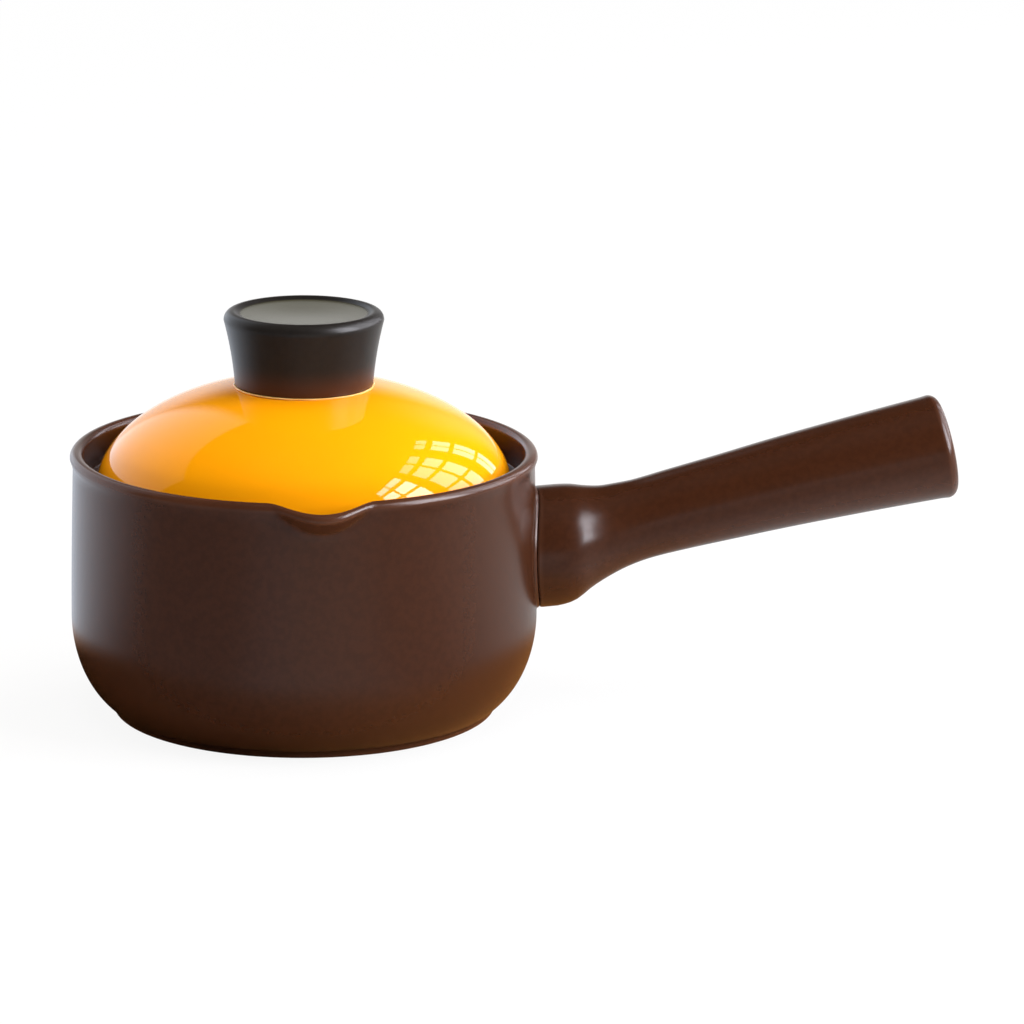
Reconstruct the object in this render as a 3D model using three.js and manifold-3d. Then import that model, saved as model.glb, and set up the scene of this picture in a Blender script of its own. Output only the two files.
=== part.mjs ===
// Ceramic stew pot: a long-handled pouring pan with a lift-off domed lid.
// Millimetres, +Z up. The origin is on the pot's axis in the plane of its foot ring.
// The handle points along +X and the pouring spout along -Y.
import * as THREE from "three";
import { mergeVertices } from "three/addons/utils/BufferGeometryUtils.js";
import Module from "manifold-3d";

const wasm = await Module();
wasm.setup();

// Bowl
const potHeight = 94.3;
const bellyRadius = 83.3;
const bellyHeight = 34.5;
const bellyCorner = 24; // how far the rounded corner reaches in from the widest place
const cornerSink = 0.8; // how far the corner's curve would run on below the foot ring
const wall = 4.8;
const wallLean = 1.1; // how much the wall draws in between the belly and the lip
const floorThickness = 5.2;

// Foot ring
const footHeight = 2.8;
const footTuck = 1.2; // step from the belly in to the ring
const footWidth = 5.4;
const footEdge = 0.7;
const baseRecess = 1.4;

// Lip
const lipFlare = 1;
const lipOuterRound = 2.4;
const lipInnerRound = 2.2;
const lipNeck = 3; // height over which the wall flares out into the lip

// Gallery ledge that carries the lid
const ledgeDepth = 12.5; // below the top of the lip
const ledgeWidth = 7.8;
const ledgeNose = 3;
const ledgeEdge = 0.8;
const ledgeCove = 1;
const ledgeUndercut = 7;

// Pouring spout
const spoutReach = 6;
const spoutDrop = 2.3;
const spoutWidth = 39;
const spoutDepth = 13;

// Handle
const handleDrop = 37.9; // from the top of the lip down to the middle of the root
const handleReach = 148.1;
const handleRise = 34.8;
const handleTilt = 12.2; // degrees that the grip slopes up
const rootDiameter = 43.8;
const neckDiameter = 29.1;
const endDiameter = 37.9;
const endRound = 3.6;
const mouthRound = 1.6;
const handleWall = 6;
const boreDepth = 98;

// Pad on the bowl's side that the handle is luted to
const padProud = 1;
const padSink = 6; // how far inside the bowl's widest place the root's solids start
const jointGap = 0.3; // between pieces that are set face to face

// Lid
const lidSideGap = 4.2; // from the lid's edge to the bowl's inner wall
const domeRise = 40;
const domeSink = 2; // the dome's level of greatest width lies this far under the ledge
const lidWall = 4.6;
const lidEdgeRound = 2;
const flangeClearance = 1;
const flangeDepth = 5;
const flangeWall = 3.6;
const flangeRound = 1.2;
const ventRadius = 5;

// Knob
const knobHeight = 26.8;
const knobFootRadius = 24.6;
const knobTopRadius = 28.4;
const knobWaist = 0.5; // how far the side curves in from a straight cone
const knobFootEdge = 0.6;
const knobTopEdge = 3.3;
const knobRing = 5;
const knobDish = 1.8;
const knobCavityRadius = 13;
const knobCavityDepth = 20;

// How finely the round forms are divided
const potSegments = 72;
const saddleSegments = 120;
const lidSegments = 56;
const knobSegments = 40;
const handleSegments = 28;
const spoutCrowdShare = 0.55; // draws the bowl's facets together round the spout

// Levels and radii that follow from the sizes above
const wallTopRadius = bellyRadius - wallLean;
const lipOuterRadius = wallTopRadius + lipFlare;
const lipInnerRadius = lipOuterRadius - wall;
const ledgeTop = potHeight - ledgeDepth;
const ledgeRadius = lipInnerRadius - ledgeWidth;
const floorTop = baseRecess + floorThickness;
const lidRadius = lipInnerRadius - lidSideGap;
const lidBottom = ledgeTop + jointGap;
const domeLevel = ledgeTop - domeSink;
const seatHeight = domeLevel + domeRise * Math.sqrt(1 - (knobFootRadius / lidRadius) ** 2);
const handleLevel = potHeight - handleDrop;
const rootStart = bellyRadius - padSink;
const handleRoot = bellyRadius + padProud + jointGap;

// Part of an ellipse about a centre, from one angle to another, in degrees from +r towards +z.
function arc(centreR, centreZ, spanR, spanZ, from, to, steps) {
  return Array.from({ length: steps + 1 }, (_, i) => {
    const angle = THREE.MathUtils.degToRad(THREE.MathUtils.lerp(from, to, i / steps));
    return [centreR + spanR * Math.cos(angle), centreZ + spanZ * Math.sin(angle)];
  });
}

// Turns a profile of [radius, height] points about the Z axis, starting at the spout's side.
function turned(profile, segments) {
  const points = profile.map(([r, z]) => new THREE.Vector2(r, z));
  return new THREE.LatheGeometry(points, segments).rotateX(Math.PI / 2);
}

// A closed skin over round sections, each with a centre, a direction and a radius.
function lofted(sections, segments) {
  const positions = [];
  const across = new THREE.Vector3(0, 1, 0);
  for (const { centre, direction, radius } of sections) {
    const up = new THREE.Vector3().crossVectors(direction, across).normalize();
    for (let i = 0; i < segments; i++) {
      const angle = (2 * Math.PI * i) / segments;
      const point = centre.clone();
      point.addScaledVector(across, radius * Math.cos(angle));
      point.addScaledVector(up, radius * Math.sin(angle));
      positions.push(...point.toArray());
    }
  }
  const faces = [];
  for (let s = 0; s + 1 < sections.length; s++) {
    for (let i = 0; i < segments; i++) {
      const next = (i + 1) % segments;
      const [a, b] = [s * segments + i, s * segments + next];
      faces.push(a, b, a + segments, b, b + segments, a + segments);
    }
  }
  const firstCentre = positions.length / 3;
  positions.push(...sections[0].centre.toArray(), ...sections.at(-1).centre.toArray());
  const lastRing = (sections.length - 1) * segments;
  for (let i = 0; i < segments; i++) {
    const next = (i + 1) % segments;
    faces.push(firstCentre, next, i);
    faces.push(firstCentre + 1, lastRing + i, lastRing + next);
  }
  const geometry = new THREE.BufferGeometry();
  geometry.setAttribute("position", new THREE.Float32BufferAttribute(positions, 3));
  geometry.setIndex(faces);
  return geometry;
}

// A geometry as a solid that can be joined and cut.
function solidOf(geometry) {
  const bare = geometry.clone().deleteAttribute("normal").deleteAttribute("uv");
  const merged = mergeVertices(bare);
  return new wasm.Manifold(
    new wasm.Mesh({
      numProp: 3,
      vertProperties: merged.attributes.position.array,
      triVerts: new Uint32Array(merged.index.array),
    }),
  );
}

function geometryOf(solid) {
  const mesh = solid.getMesh();
  const geometry = new THREE.BufferGeometry();
  geometry.setAttribute("position", new THREE.BufferAttribute(mesh.vertProperties, 3));
  geometry.setIndex(new THREE.BufferAttribute(mesh.triVerts, 1));
  return geometry;
}

function meshOf(name, geometry, material) {
  const flat = geometry.index ? geometry.toNonIndexed() : geometry;
  flat.computeVertexNormals();
  const mesh = new THREE.Mesh(flat, material);
  mesh.name = name;
  return mesh;
}

// The bowl's side from the foot up to the lip, set in from the outside by a depth of wall.
function sideProfile(inset, lowest, startZ) {
  const centreR = bellyRadius - bellyCorner;
  const spanZ = bellyHeight - lowest;
  const start = -THREE.MathUtils.radToDeg(Math.asin((bellyHeight - startZ) / spanZ));
  const corner = arc(centreR, bellyHeight, bellyCorner - inset, spanZ, start, 0, 8);
  return [...corner, [wallTopRadius - inset, potHeight - spoutDepth]];
}

function bowlProfile() {
  const outside = sideProfile(0, -cornerSink, footHeight);
  const footRadius = outside[0][0] - footTuck;
  const foot = [
    [0, baseRecess],
    [footRadius - footWidth - baseRecess / 2, baseRecess],
    [footRadius - footWidth, 0],
    [footRadius - footEdge, 0],
    [footRadius, footEdge],
    [footRadius, footHeight],
  ];
  const lipStart = potHeight - lipOuterRound;
  const crestRadius = lipOuterRadius - lipOuterRound;
  const neck = [
    [wallTopRadius, potHeight - 0.85 * spoutDepth],
    [wallTopRadius, potHeight - 0.68 * spoutDepth],
    [wallTopRadius, lipStart - lipNeck - lipOuterRound / 2],
    [wallTopRadius, lipStart - lipNeck],
    [wallTopRadius + lipFlare / 2, lipStart - lipNeck / 2],
  ];
  const lip = [
    ...arc(crestRadius, lipStart, lipOuterRound, lipOuterRound, 0, 90, 4),
    ...arc(
      lipInnerRadius + lipInnerRound,
      potHeight - lipInnerRound,
      lipInnerRound,
      lipInnerRound,
      90,
      180,
      3,
    ),
  ];
  const ledge = [
    [lipInnerRadius, (lipStart + ledgeTop) / 2],
    [lipInnerRadius, ledgeTop + ledgeCove],
    [lipInnerRadius - ledgeCove, ledgeTop],
    [ledgeRadius + ledgeEdge, ledgeTop],
    [ledgeRadius, ledgeTop - ledgeEdge],
    [ledgeRadius, ledgeTop - ledgeNose + ledgeEdge],
    [ledgeRadius + ledgeEdge, ledgeTop - ledgeNose],
    [lipInnerRadius, ledgeTop - ledgeNose - ledgeUndercut],
  ];
  const inside = sideProfile(wall, floorTop, floorTop).slice(0, -1).reverse();
  return [...foot, ...outside, ...neck, ...lip, ...ledge, ...inside, [0, floorTop]];
}

// Pulls the lip out and down at the spout, and crowds the facets there.
function pullSpout(geometry) {
  const place = geometry.attributes.position;
  const halfAngle = spoutWidth / 2 / lipOuterRadius;
  for (let i = 0; i < place.count; i++) {
    const radius = Math.hypot(place.getX(i), place.getY(i));
    const even = Math.atan2(place.getX(i), -place.getY(i));
    const angle = even - spoutCrowdShare * Math.sin(even);
    const depth = Math.min((potHeight - place.getZ(i)) / spoutDepth, 1);
    const narrowing = 1 - 0.6 * depth;
    const aside = Math.min(Math.abs(angle) / (halfAngle * narrowing), 1);
    const fade = (1 + Math.cos(Math.PI * depth)) / 2;
    const pull = (1 - aside ** 2) ** 1.8 * fade;
    const reach = radius + (radius > ledgeRadius ? spoutReach * pull : 0);
    place.setXYZ(
      i,
      reach * Math.sin(angle),
      -reach * Math.cos(angle),
      place.getZ(i) - (radius > ledgeRadius ? spoutDrop * pull : 0),
    );
  }
  return geometry;
}

// The bowl's outside as a plain solid, grown or shrunk by a depth.
function bowlBlank(inset) {
  const side = sideProfile(inset, -cornerSink, footHeight);
  return solidOf(turned([[0, footHeight], ...side, [0, potHeight - spoutDepth]], saddleSegments));
}

// A low round pad that follows the bowl's side, rooted inside the wall.
function padSolid() {
  const sections = [rootStart, handleRoot + padSink].map((x) => ({
    centre: new THREE.Vector3(x, 0, handleLevel),
    direction: new THREE.Vector3(1, 0, 0),
    radius: rootDiameter / 2,
  }));
  const prism = solidOf(lofted(sections, 2 * handleSegments));
  return prism.intersect(bowlBlank(-padProud)).subtract(bowlBlank(wall / 2));
}

function potBody(material) {
  const bowl = pullSpout(turned(bowlProfile(), potSegments));
  return meshOf("pot_body", geometryOf(solidOf(bowl).add(padSolid())), material);
}

// Along the handle: share of its reach, of its rise, of its narrowing from the root to the neck
// and of its swelling from the neck to the end.
const handleShares = [
  [0, 0, 0, 0],
  [0.04, 0.012, 0, 0],
  [0.08, 0.04, 0.12, 0],
  [0.12, 0.102, 0.486, 0],
  [0.16, 0.156, 0.757, 0],
  [0.2, 0.213, 0.91, 0],
  [0.25, 0.272, 1, 0],
  [0.33, 0.36, 1, 0.055],
  [0.45, 0.482, 1, 0.2],
  [0.6, 0.635, 1, 0.42],
  [0.8, 0.823, 1, 0.709],
  [1, 1, 1, 1],
];
const tiltedShare = 0.3; // of the reach, from where on the sections stand square to the grip
const handleLine = new THREE.CubicInterpolant(
  handleShares.map(([along]) => along),
  handleShares.flatMap(([, ...values]) => values),
  3,
);

// The handle's centre, direction and radius at a share of its reach.
function handleAt(share) {
  const [rise, narrowing, swelling] = handleLine.evaluate(share);
  const tilt = handleTilt * THREE.MathUtils.smoothstep(share, 0, tiltedShare);
  const angle = THREE.MathUtils.degToRad(tilt);
  const slimmed = THREE.MathUtils.lerp(rootDiameter, neckDiameter, narrowing);
  const diameter = slimmed + (endDiameter - neckDiameter) * swelling;
  return {
    centre: new THREE.Vector3(handleRoot + share * handleReach, 0, handleLevel + rise * handleRise),
    direction: new THREE.Vector3(Math.cos(angle), 0, Math.sin(angle)),
    radius: diameter / 2,
  };
}

function handleSections() {
  const moved = (section, forward, radius) => ({
    centre: section.centre.clone().addScaledVector(section.direction, forward),
    direction: section.direction,
    radius,
  });
  const root = handleAt(0);
  const rootSections = [moved(root, rootStart - handleRoot, root.radius), root];
  const outsideShares = [0.025, 0.045, 0.06, 0.075, 0.09, 0.105, 0.12, 0.14, 0.17, 0.2, 0.25, 0.33, 0.45, 0.6, 0.8];
  const outside = outsideShares.map(handleAt);
  const end = handleAt(1);
  const outerEnd = arc(0, 0, endRound, endRound, 0, 90, 4).map(([r, forward]) =>
    moved(end, forward - endRound, end.radius - endRound + r),
  );
  const mouthRadius = end.radius - handleWall;
  const mouth = arc(0, 0, mouthRound, mouthRound, 90, 0, 3).map(([r, forward]) =>
    moved(end, forward - mouthRound, mouthRadius + mouthRound - r),
  );
  const boreShare = boreDepth / handleReach;
  const bore = [0.25, 0.5, 0.75, 0.93].map((depthShare) => {
    const section = handleAt(1 - depthShare * boreShare);
    return moved(section, 0, section.radius - handleWall);
  });
  const blindEnd = handleAt(1 - boreShare);
  bore.push(moved(blindEnd, 0, (blindEnd.radius - handleWall) / 2));
  return [...rootSections, ...outside, ...outerEnd, ...mouth, ...bore];
}

// The root is cut to the bowl's curve, so that it sits on the pad like a saddle.
function handle(material) {
  const blank = solidOf(lofted(handleSections(), handleSegments));
  const saddled = blank.subtract(bowlBlank(-padProud - jointGap));
  return meshOf("handle", geometryOf(saddled), material);
}

// Degrees on the dome's ellipse, from its level of greatest width, at which it has a height.
function domeAngle(height, rise) {
  return THREE.MathUtils.radToDeg(Math.asin((height - domeLevel) / rise));
}

function lidDome(material) {
  const edgeTop = lidBottom + lidEdgeRound;
  const edgeAngle = domeAngle(edgeTop, domeRise);
  const edgeRadius = lidRadius * Math.cos(THREE.MathUtils.degToRad(edgeAngle));
  const outside = arc(0, domeLevel, lidRadius, domeRise, edgeAngle, domeAngle(seatHeight, domeRise), 9);
  const edge = arc(edgeRadius - lidEdgeRound, edgeTop, lidEdgeRound, lidEdgeRound, -90, 0, 3);
  const flangeOuter = ledgeRadius - flangeClearance;
  const flangeInner = flangeOuter - flangeWall;
  const flangeBottom = lidBottom - flangeDepth;
  const flange = [
    [flangeInner, flangeBottom + flangeRound],
    [flangeInner + flangeRound, flangeBottom],
    [flangeOuter - flangeRound, flangeBottom],
    [flangeOuter, flangeBottom + flangeRound],
    [flangeOuter, lidBottom],
  ];
  const innerRise = domeRise - lidWall;
  const underside = arc(0, domeLevel, flangeInner, innerRise, 0, domeAngle(seatHeight - lidWall, innerRise), 8);
  const profile = [
    ...flange,
    ...edge.slice(0, -1),
    ...outside,
    [ventRadius, seatHeight],
    [ventRadius, underside.at(-1)[1]],
    ...underside.reverse(),
  ];
  return meshOf("lid_dome", turned([...profile, profile[0]], lidSegments), material);
}

function lidKnob(material) {
  const foot = seatHeight + jointGap;
  const top = foot + knobHeight;
  const side = [0.25, 0.5, 0.75].map((share) => [
    THREE.MathUtils.lerp(knobFootRadius, knobTopRadius, share) - 4 * knobWaist * share * (1 - share),
    THREE.MathUtils.lerp(foot + knobFootEdge, top - knobTopEdge, share),
  ]);
  const dishRadius = knobTopRadius - knobRing;
  const profile = [
    ...arc(0, foot, knobCavityRadius, knobCavityDepth, 90, 0, 5),
    [knobFootRadius - knobFootEdge, foot],
    [knobFootRadius, foot + knobFootEdge],
    ...side,
    ...arc(knobTopRadius - knobTopEdge, top - knobTopEdge, knobTopEdge, knobTopEdge, 0, 90, 4),
    [dishRadius, top],
    [dishRadius - knobDish, top - knobDish / 3],
    [dishRadius - 3 * knobDish, top - knobDish * 0.9],
    [0, top - knobDish],
  ];
  return meshOf("lid_knob", turned(profile, knobSegments), material);
}

const bodyGlaze = new THREE.MeshStandardMaterial({ color: 0x3d2319, roughness: 0.38, metalness: 0 });
const handleGlaze = new THREE.MeshStandardMaterial({ color: 0x3d2319, roughness: 0.38, metalness: 0 });
const lidGlaze = new THREE.MeshStandardMaterial({ color: 0xfba406, roughness: 0.08, metalness: 0 });
const knobGlaze = new THREE.MeshStandardMaterial({ color: 0x231d1a, roughness: 0.42, metalness: 0 });

const stewPot = new THREE.Group();
stewPot.add(potBody(bodyGlaze), handle(handleGlaze));
const lid = new THREE.Group();
lid.add(lidDome(lidGlaze), lidKnob(knobGlaze));
stewPot.add(lid);

export default stewPot;
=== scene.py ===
import math

import bmesh
import bpy
from mathutils import Matrix, Vector


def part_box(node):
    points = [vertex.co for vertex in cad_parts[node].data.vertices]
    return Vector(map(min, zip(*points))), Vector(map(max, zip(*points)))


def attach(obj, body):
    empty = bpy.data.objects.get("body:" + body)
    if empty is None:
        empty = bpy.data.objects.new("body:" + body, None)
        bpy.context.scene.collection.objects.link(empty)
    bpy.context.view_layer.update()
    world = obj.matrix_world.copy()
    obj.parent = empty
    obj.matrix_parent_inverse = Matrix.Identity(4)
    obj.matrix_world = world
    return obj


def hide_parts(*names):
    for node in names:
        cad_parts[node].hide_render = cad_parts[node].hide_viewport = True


# A ceramic stew pot: a brown bowl with a pouring spout and a long hollow handle,
# and an orange domed lid with a dark flared knob. The shapes' sizes are millimetres until a
# mesh is made, and the set's are metres.

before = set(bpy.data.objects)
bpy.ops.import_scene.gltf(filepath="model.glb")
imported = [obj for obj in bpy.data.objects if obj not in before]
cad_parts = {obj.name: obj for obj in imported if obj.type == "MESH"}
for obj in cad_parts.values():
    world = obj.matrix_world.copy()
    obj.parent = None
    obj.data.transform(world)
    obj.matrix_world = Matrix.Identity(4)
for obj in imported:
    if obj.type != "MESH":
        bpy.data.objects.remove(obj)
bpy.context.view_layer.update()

MM = 0.001
MERGE_DISTANCE = 0.0005 * MM


def frame_box(node):
    low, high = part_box(node)
    return low / MM, high / MM


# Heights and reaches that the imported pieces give
POT_HEIGHT = frame_box("pot_body")[1].z
FLANGE_BOTTOM, SEAT_HEIGHT = (corner.z for corner in frame_box("lid_dome"))
KNOB_FOOT, KNOB_TOP = (corner.z for corner in frame_box("lid_knob"))
KNOB_TOP_RADIUS = frame_box("lid_knob")[1].x

# Bowl
BELLY_RADIUS = 83.3
BELLY_HEIGHT = 34.5
BELLY_CORNER = 24
CORNER_SINK = 0.8
WALL = 4.8
WALL_LEAN = 1.1
WALL_LEAN_POWER = 1.5
INNER_WALL_START = BELLY_HEIGHT + 20
FLOOR_TOP = 6.6
FOOT_HEIGHT = 2.8
FOOT_TUCK = 1.2
FOOT_WIDTH = 5.4
BASE_RECESS = 1.4
BASE_SLOPE = 0.9
BASE_ROUND = 0.6
FOOT_INNER_ROUND = 0.4
FOOT_OUTER_ROUND = 0.7
FOOT_TOP_ROUND = 0.5
FOOT_TOP_FALL = 0.1
FOOT_TOP_REACH = 0.3

# Lip and the gallery ledge that carries the lid
LIP_FLARE = 1
LIP_OUTER_ROUND = 2.4
LIP_INNER_ROUND = 2.2
LIP_NECK = 3
LIP_OUTER_RADIUS = BELLY_RADIUS - WALL_LEAN + LIP_FLARE
LIP_INNER_RADIUS = LIP_OUTER_RADIUS - WALL
LIP_START = POT_HEIGHT - LIP_OUTER_ROUND
LIP_INNER_SHARES = (0.25, 0.4, 0.55, 0.7, 0.8)
LEDGE_TOP = POT_HEIGHT - 12.5
LEDGE_WIDTH = 7.8
LEDGE_NOSE = 3
LEDGE_UNDERCUT = 7
LEDGE_ROUNDS = (1, 0.8, 0.9, 5)

# Pouring spout
SPOUT_REACH = 6.5
SPOUT_DROP = 2.3
SPOUT_WIDTH = 39
SPOUT_DEPTH = 14.5
SPOUT_CROWDING = 0.55
SPOUT_NARROWING = 0.6
SPOUT_SHARPNESS = 1.8
SPOUT_FADE = (0.1, 0.85)
LEDGE_MARGIN = 0.1
NEAR_AXIS = 1

# Handle
HANDLE_LEVEL = POT_HEIGHT - 37.9
HANDLE_REACH = 148.1
HANDLE_RISE = 34.8
HANDLE_TILT = 12.2
TILTED_SHARE = 0.3
HANDLE_ROOT = 84.6
ROOT_DIAMETER = 43.8
NECK_DIAMETER = 29.1
END_DIAMETER = 37.9
END_ROUND = 3.6
MOUTH_ROUND = 1.6
HANDLE_WALL = 6
BORE_DEPTH = 98
PAD_PROUD = 1
PAD_SUNK = 2
PAD_MIDDLE = 12
PAD_FACE = (0.35, 3)
ROOT_LIFT = 1.08
ROOT_MIDDLE = 3
ROOT_BLEND = (0.25, 0.5, 0.75)

# Steps of the fillet round the handle's pad, outward and lifted, of the rounded edge of the
# handle's root, inward and lifted, and of the blind end of its bore, sunk and inward
PAD_FILLET = [(1.5, -0.3), (1.2, -0.05), (0.7, 0.05), (0.3, 0.25), (0.05, 0.6), (0, 0.75), (-0.1, 0.9)]
ROOT_EDGE = [(0.9, 0), (0.45, 0.07), (0.12, 0.4), (0, 0.9)]
BORE_END = [(0, 1.5), (1.2, 3.5), (1.8, 6)]

# Lid
LID_RADIUS = LIP_INNER_RADIUS - 4.2
DOME_RISE = 40
DOME_LEVEL = LEDGE_TOP - 2
LID_BOTTOM = LEDGE_TOP + 0.3
LID_EDGE_ROUND = 2
LID_WALL = 4.6
FLANGE_RADIUS = LIP_INNER_RADIUS - LEDGE_WIDTH - 1
FLANGE_WALL = 3.6
FLANGE_ROUND = 1.2
FLANGE_CORNER = 0.5
UNDERSIDE_START = 2
VENT_RADIUS = 5

# Knob
KNOB_FOOT_RADIUS = 24.6
KNOB_FOOT_EDGE = 0.8
KNOB_TOP_EDGE = 3.3
KNOB_WAIST = 0.5
KNOB_DISH = 1.8
KNOB_DISH_START = 25.1
KNOB_DISH_END = 22.3
KNOB_RING_SHARE = 0.6
KNOB_CAVITY_RADIUS = 13
KNOB_CAVITY_DEPTH = 20
SEAM_RADIUS = 24.7
SEAM_HALF_WIDTH = 0.45
SEAM_HEIGHT = 0.3
SEAM_SINK = 0.1
SEAM_LIFT = 0.4
SEAM_WAVES = [(0.16, 2, -0.4), (0.1, 5, 0), (0.06, 16, 2)]

# An edge rounded this tightly, or tighter, shows the whole of a glaze's thin colour
THIN_RADIUS = 2.5

# How finely the round forms are divided
FILLET_STEPS = 5
BOWL_STEPS = 288
CORNER_STEPS = 30
WALL_STEPS = 30
LIP_STEPS = 10
EDGE_STEPS = 8
INSIDE_STEPS = 24
LID_STEPS = 256
DOME_STEPS = 56
UNDERSIDE_STEPS = 36
KNOB_STEPS = 192
KNOB_CAVITY_STEPS = 16
KNOB_SIDE_STEPS = 20
KNOB_TOP_EDGE_STEPS = 9
DISH_RING_STEPS = 12
DISH_MIDDLE_STEPS = 14
SEAM_STEPS = 12
HANDLE_STEPS = 112
GRIP_STEPS = 64
BORE_STEPS = 25


def smoothstep(low, high, value):
    share = min(max((value - low) / (high - low), 0), 1)
    return share * share * (3 - 2 * share)


def mix(low, high, share):
    return low + (high - low) * share


def arc(centre, spans, start, end, steps):
    """Points of an ellipse's arc, with angles in degrees from +r towards +z."""
    angles = [math.radians(mix(start, end, i / steps)) for i in range(steps + 1)]
    return [(centre[0] + spans[0] * math.cos(a), centre[1] + spans[1] * math.sin(a)) for a in angles]


def rounded(corners):
    """An outline through corners (r, z) or, with a fillet, (r, z, radius)."""
    outline = []
    for i, corner in enumerate(corners):
        here = Vector(corner[:2])
        if len(corner) == 2:
            outline.append(tuple(here))
            continue
        back = (Vector(corners[i - 1][:2]) - here).normalized()
        ahead = (Vector(corners[i + 1][:2]) - here).normalized()
        half_angle = back.angle(ahead) / 2
        radius = corner[2]
        centre = here + (back + ahead).normalized() * radius / math.sin(half_angle)
        setback = radius / math.tan(half_angle)
        first, last = here + back * setback - centre, here + ahead * setback - centre
        start = math.atan2(first.y, first.x)
        turn = (math.atan2(last.y, last.x) - start + math.pi) % math.tau - math.pi
        for k in range(FILLET_STEPS + 1):
            angle = start + turn * k / FILLET_STEPS
            outline.append((centre.x + radius * math.cos(angle), centre.y + radius * math.sin(angle)))
    return outline


def spin_outline(bm, outline, steps):
    """Turns an outline of (r, z) points about the Z axis into a closed skin."""
    verts = [bm.verts.new((r * MM, 0, z * MM)) for r, z in outline]
    edges = [bm.edges.new(pair) for pair in zip(verts, verts[1:])]
    bmesh.ops.spin(
        bm,
        geom=verts + edges,
        cent=(0, 0, 0),
        axis=(0, 0, 1),
        angle=math.tau,
        steps=steps,
        use_merge=True,
    )
    bmesh.ops.remove_doubles(bm, verts=bm.verts, dist=MERGE_DISTANCE)


def mark_thin_glaze(bm):
    """Stores how sharply the surface curves outwards, for the places where a glaze runs thin."""
    layer = bm.verts.layers.float.new("thin_glaze")
    bends = {}
    for edge in bm.edges:
        if len(edge.link_faces) == 2:
            one, other = (face.calc_center_median() for face in edge.link_faces)
            span = (one - other).length
            bends[edge] = edge.calc_face_angle_signed(0) / max(span, MERGE_DISTANCE)
    raw = {}
    for vert in bm.verts:
        sharpest = max((bends.get(edge, 0) for edge in vert.link_edges), default=0)
        raw[vert] = sharpest * THIN_RADIUS * MM
    for vert in bm.verts:
        near = [raw[edge.other_vert(vert)] for edge in vert.link_edges] + [raw[vert]]
        vert[layer] = min(max(sum(near) / len(near), 0), 1)


def piece(name, bm, body, slot, *replaced):
    """Finishes a closed skin as an object that rides on a body."""
    bmesh.ops.recalc_face_normals(bm, faces=bm.faces)
    mark_thin_glaze(bm)
    for face in bm.faces:
        face.smooth = True
    mesh = bpy.data.meshes.new(name)
    bm.to_mesh(mesh)
    bm.free()
    made = bpy.data.objects.new(name, mesh)
    bpy.context.scene.collection.objects.link(made)
    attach(made, body)
    if replaced:
        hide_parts(*replaced)
    return made


# The bowl


def bowl_radius(z):
    """Outside radius of the bowl at a height."""
    if z < BELLY_HEIGHT:
        sink = (BELLY_HEIGHT - z) / (BELLY_HEIGHT + CORNER_SINK)
        return BELLY_RADIUS - BELLY_CORNER * (1 - math.sqrt(1 - sink * sink))
    neck_start = LIP_START - LIP_NECK
    lean = min((z - BELLY_HEIGHT) / (neck_start - BELLY_HEIGHT), 1) ** WALL_LEAN_POWER
    return BELLY_RADIUS - WALL_LEAN * lean + LIP_FLARE * smoothstep(neck_start, LIP_START, z)


def bowl_outline():
    corner_centre = (BELLY_RADIUS - BELLY_CORNER, BELLY_HEIGHT)
    low_angle = -math.degrees(math.asin((BELLY_HEIGHT - FOOT_HEIGHT) / (BELLY_HEIGHT + CORNER_SINK)))
    corner = arc(corner_centre, (BELLY_CORNER, BELLY_HEIGHT + CORNER_SINK), low_angle, 0, CORNER_STEPS)
    foot_radius = corner[0][0] - FOOT_TUCK
    foot_inner = foot_radius - FOOT_WIDTH
    foot = rounded(
        [
            (0, BASE_RECESS),
            (foot_inner - BASE_SLOPE, BASE_RECESS, BASE_ROUND),
            (foot_inner, 0, FOOT_INNER_ROUND),
            (foot_radius, 0, FOOT_OUTER_ROUND),
            (foot_radius, FOOT_HEIGHT - FOOT_TOP_FALL, FOOT_TOP_ROUND),
            (corner[0][0] + FOOT_TOP_REACH, FOOT_HEIGHT),
        ]
    )
    side = [mix(BELLY_HEIGHT, LIP_START, i / WALL_STEPS) for i in range(1, WALL_STEPS)]
    wall = [(bowl_radius(z), z) for z in side]
    crest_radius = LIP_OUTER_RADIUS - LIP_OUTER_ROUND
    inner_crest = (LIP_INNER_RADIUS + LIP_INNER_ROUND, POT_HEIGHT - LIP_INNER_ROUND)
    lip = arc((crest_radius, LIP_START), (LIP_OUTER_ROUND,) * 2, 0, 90, LIP_STEPS)
    lip += arc(inner_crest, (LIP_INNER_ROUND,) * 2, 90, 180, EDGE_STEPS)
    lip += [(LIP_INNER_RADIUS, mix(POT_HEIGHT, LEDGE_TOP, share)) for share in LIP_INNER_SHARES]
    ledge_radius = LIP_INNER_RADIUS - LEDGE_WIDTH
    undercut_end = LEDGE_TOP - LEDGE_NOSE - LEDGE_UNDERCUT
    back_round, edge_round, nose_round, undercut_round = LEDGE_ROUNDS
    ledge = rounded(
        [
            lip[-1],
            (LIP_INNER_RADIUS, LEDGE_TOP, back_round),
            (ledge_radius, LEDGE_TOP, edge_round),
            (ledge_radius, LEDGE_TOP - LEDGE_NOSE, nose_round),
            (bowl_radius(undercut_end) - WALL, undercut_end, undercut_round),
            (BELLY_RADIUS - WALL, INNER_WALL_START),
        ]
    )[1:]
    inside = arc(corner_centre, (BELLY_CORNER - WALL, BELLY_HEIGHT - FLOOR_TOP), 0, -90, INSIDE_STEPS)
    return foot + corner[1:] + wall + lip + ledge + inside + [(0, FLOOR_TOP)]


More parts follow.
